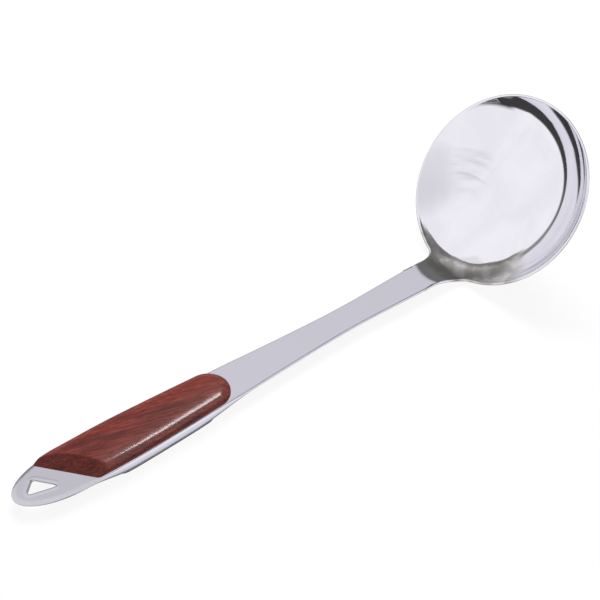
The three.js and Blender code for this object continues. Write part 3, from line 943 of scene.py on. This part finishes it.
def pale_floor():
    """A pale light table under the ladle."""
    mesh = bpy.data.meshes.new("floor")
    half = FLOOR_HALF
    corners = [(-half, -half, 0), (half, -half, 0), (half, half, 0), (-half, half, 0)]
    mesh.from_pydata(corners, [], [(0, 1, 2, 3)])
    floor = bpy.data.objects.new("floor", mesh)
    bpy.context.scene.collection.objects.link(floor)
    material, nodes, shader, place = new_material(
        "pale_floor", Roughness=0.9, Specular_IOR_Level=0.0,
        Emission_Color=(1, 1, 1, 1), Emission_Strength=0.90)
    tone = nodes.mix(nodes.noise(place, 3, 2), (0.11, 0.11, 0.11), (0.13, 0.13, 0.13))
    nodes.link(tone, shader, "Base Color")
    floor.data.materials.append(material)
    floor.visible_glossy = False


def pointing(azimuth, elevation):
    """Unit vector from the ladle, its azimuth from +X towards +Y."""
    a = math.radians(azimuth)
    e = math.radians(elevation)
    return Vector((math.cos(a) * math.cos(e), math.sin(a) * math.cos(e), math.sin(e)))


def card(nodes, direction, azimuth, elevation, wide, tall, soft):
    """Mask of a rectangular card around the ladle: half sizes and soft edge are in degrees."""
    centre = pointing(azimuth, elevation)
    right = Vector((-centre.y, centre.x, 0)).normalized()
    up = centre.cross(right)
    ahead = nodes.dot(direction, centre)
    mask = nodes.remap(ahead, 0.1, 0.2)
    safe = nodes.math("MAXIMUM", ahead, 0.1)
    for axis, size in ((right, wide), (up, tall)):
        ratio = nodes.math("ABSOLUTE", nodes.math("DIVIDE", nodes.dot(direction, axis), safe))
        inner = math.tan(math.radians(size - soft / 2))
        outer = math.tan(math.radians(size + soft / 2))
        mask = nodes.math("MULTIPLY", mask, nodes.remap(ratio, inner, outer, 1.0, 0.0))
    return mask


def soft_world():
    """What the steel mirrors: a pale dome that the bowl's mouth faces, cards, a dark surround."""
    world = bpy.data.worlds.new("studio")
    bpy.context.scene.world = world
    world.use_nodes = True
    world.cycles.sampling_method = "NONE"
    nodes = Nodes(world.node_tree)
    background = world.node_tree.nodes["Background"]
    direction = nodes.add("ShaderNodeTexCoord").outputs["Generated"]
    xyz = nodes.add("ShaderNodeSeparateXYZ", inputs={"Vector": direction})
    side, height = xyz.outputs["Y"], xyz.outputs["Z"]
    facing = nodes.dot(direction, (-sin_tilt, 0, cos_tilt))
    path = nodes.add("ShaderNodeLightPath")

    # Behind the bowl's mouth: a pale surround, seen by the outside of the bowl and by the sides.
    behind = nodes.remap(facing, 0.02, -0.12)
    under = nodes.mix(nodes.remap(side, -0.3, 0.3), (0.16, 0.16, 0.165), (0.42, 0.42, 0.43))
    surround = nodes.mix(nodes.remap(height, -0.45, -0.05), under, (0.60, 0.60, 0.62))
    beyond = nodes.math("MULTIPLY", nodes.remap(height, -0.35, 0.3), nodes.remap(side, 0.5, 0.85))
    dark = (0.055, 0.050, 0.055)
    ring = nodes.mix(beyond, dark, (0.30, 0.29, 0.30))
    colour = nodes.mix(behind, ring, surround)

    # Pale cards beside the grip's near side, and low down for the far wall of the hanging hole.
    colour = nodes.mix(card(nodes, direction, -61, 22, 17, 26, 4), colour, (1.15, 1.13, 1.2))
    colour = nodes.mix(card(nodes, direction, -60, -27, 16, 25, 4), colour, (0.95, 0.93, 1.0))
    colour = nodes.mix(card(nodes, direction, -130, -43, 30, 25, 8), colour, (0.85, 0.84, 0.88))

    # The dome.
    dome = nodes.remap(facing, 0.24, 0.275)
    above = nodes.remap(height, -0.58, -0.53)
    lit = nodes.math("MULTIPLY", dome, above)
    folds = nodes.noise(stretched(nodes, direction, (1.2, 0.8, 9.0)), 1.0, 4, 0.55, 0.6)
    where = card(nodes, direction, -140, 38, 26, 18, 20)
    left = card(nodes, direction, -98, 40, 26, 26, 24)
    streaks = nodes.math("MULTIPLY", nodes.remap(folds, 0.45, 0.66, 0.0, 0.75), where)
    shade = nodes.math("MAXIMUM", nodes.math("MULTIPLY", left, 0.7), streaks)
    pale = nodes.mix(shade, (1.0, 0.995, 1.03), (0.74, 0.74, 0.78))
    colour = nodes.mix(lit, colour, pale)

    # A dark card low down behind the handle, mirrored just under the bowl's upper rim.
    colour = nodes.mix(card(nodes, direction, -161, -39, 14, 7, 7), colour, dark)

    # A pale card for the shank and the tab.
    colour = nodes.mix(card(nodes, direction, 53, 46, 15, 9, 5), colour, (0.85, 0.84, 0.88))

    # Dark flags that show only by way of two mirrorings in the steel.
    second = nodes.math("GREATER_THAN", path.outputs["Ray Depth"], FLAG_DEPTH)
    low = nodes.math("MULTIPLY", nodes.remap(facing, 0.76, 0.66), nodes.remap(height, 0.14, 0.02))
    low = nodes.math("MULTIPLY", low, nodes.remap(side, -0.1, 0.1))
    near = nodes.math("MULTIPLY", nodes.remap(height, 0.80, 0.83), nodes.remap(side, -0.12, -0.24))
    overhead = nodes.math("MAXIMUM", nodes.remap(height, 0.895, 0.915), near)
    grey = (0.21, 0.21, 0.20)
    flags = (
        (card(nodes, direction, -157, 43.5, 14, 10, 3), (0.08, 0.07, 0.075)),
        (low, (0.06, 0.055, 0.06)),
        (overhead, grey),
        (card(nodes, direction, 36, 61, 14, 6, 4), grey),
    )
    for mask, tone in flags:
        colour = nodes.mix(nodes.math("MULTIPLY", mask, second), colour, tone)

    plain = nodes.mix(path.outputs["Is Diffuse Ray"], colour, AMBIENT)
    nodes.link(nodes.mix(path.outputs["Is Camera Ray"], plain, BACKDROP), background, "Color")
    background.inputs["Strength"].default_value = 1.0


def softbox(name, towards, size, power):
    """A rectangular area light in a direction from the ladle, turned to face it."""
    light = bpy.data.lights.new(name, "AREA")
    light.shape = "RECTANGLE"
    light.size, light.size_y = size
    light.energy = power
    lamp = bpy.data.objects.new(name, light)
    bpy.context.scene.collection.objects.link(lamp)
    direction = Vector(towards).normalized()
    lamp.location = direction * LAMP_DISTANCE
    lamp.rotation_euler = direction.to_track_quat("Z", "Y").to_euler()
    lamp.visible_glossy = False
    lamp.visible_camera = False
    return lamp


def camera():
    """The photo's view: the azimuth is from +Y towards +X, and the camera looks down."""
    azimuth = math.radians(39.673)
    elevation = math.radians(43.381)
    roll = math.radians(1.650)
    distance = 0.700
    target = Vector(((-103.42 + shift_x) * MM, 18.35 * MM, 9.33 * MM))
    forward = Vector((math.sin(azimuth) * math.cos(elevation),
                      math.cos(azimuth) * math.cos(elevation), -math.sin(elevation)))
    right = Vector((math.cos(azimuth), -math.sin(azimuth), 0))
    up = right.cross(forward)
    right, up = (right * math.cos(roll) + up * math.sin(roll),
                 up * math.cos(roll) - right * math.sin(roll))
    data = bpy.data.cameras.new("camera")
    data.sensor_width = 36
    data.lens = 92.32
    data.clip_start = 0.01
    data.clip_end = 50
    view = bpy.data.objects.new("camera", data)
    matrix = Matrix((right, up, -forward)).transposed().to_4x4()
    matrix.translation = target - forward * distance
    view.matrix_world = matrix
    bpy.context.scene.collection.objects.link(view)
    bpy.context.scene.camera = view


pale_floor()
soft_world()
softbox("back_softbox", (0.46, 0.56, 0.69), (1.0, 0.8), 26.0)

# The highlight along the grip's near edge comes from a lamp that lights nothing else.
only_grip = bpy.data.collections.new("lit_by_the_highlight")
only_grip.objects.link(pieces[2][0])
highlight = softbox("grip_highlight", pointing(12, 65.5), (0.50, 0.40), 34.0)
highlight.visible_glossy = True
highlight.visible_diffuse = False
highlight.light_linking.receiver_collection = only_grip

# The photo shows no clear mirror image of the other pieces, so the bowl doesn't mirror them.
for piece, node, slot, material in pieces[1:]:
    piece.visible_glossy = False
for number in (1, 2):
    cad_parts[f"threaded_insert_{number}"].visible_glossy = False
camera()
bpy.context.scene.view_settings.view_transform = "Standard"
